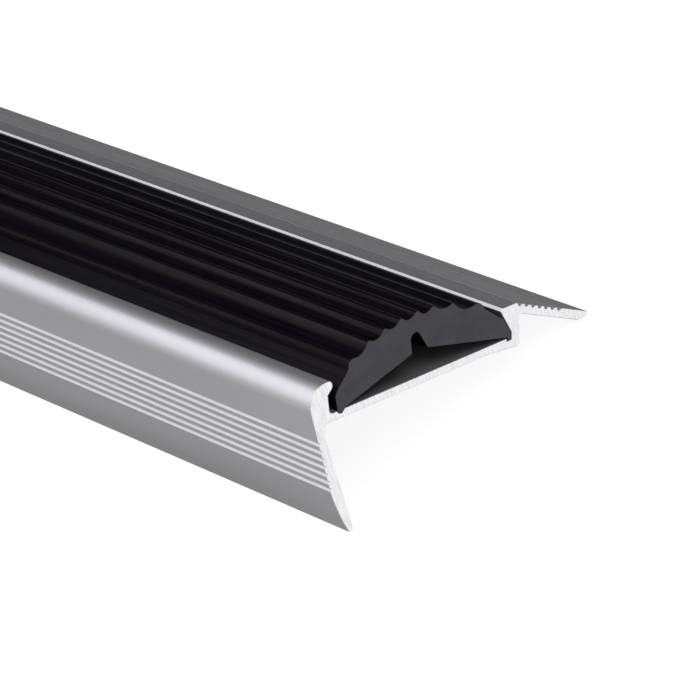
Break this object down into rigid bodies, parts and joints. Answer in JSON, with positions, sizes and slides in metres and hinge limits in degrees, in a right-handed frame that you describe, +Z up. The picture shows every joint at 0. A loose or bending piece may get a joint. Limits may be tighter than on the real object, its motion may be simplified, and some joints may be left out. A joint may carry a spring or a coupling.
{
  "type": "stair nosing",
  "caption": "Aluminium stair edge profile with a leaning grooved leg, a grooved rear ramp and an arched, ribbed rubber tread insert pressed into its channel.",
  "frame": {"origin": "on the floor under the middle of the length and the middle of the depth, as the loose profile lies", "axes": "+X along the length, +Y from the nose to the ramp, +Z up; the profile rests on the tips of its leg and ramp, so its tread side is tipped down 19.4 degrees towards +Y"},
  "size_m": [0.9, 0.0436, 0.0201],
  "materials": {
    "anodised_aluminium": "satin anodised",
    "black_rubber": "matt"
  },
  "bodies": {
    "root": {"aluminium_profile": "anodised_aluminium", "rubber_insert": "black_rubber"}
  },
  "joints": []
}
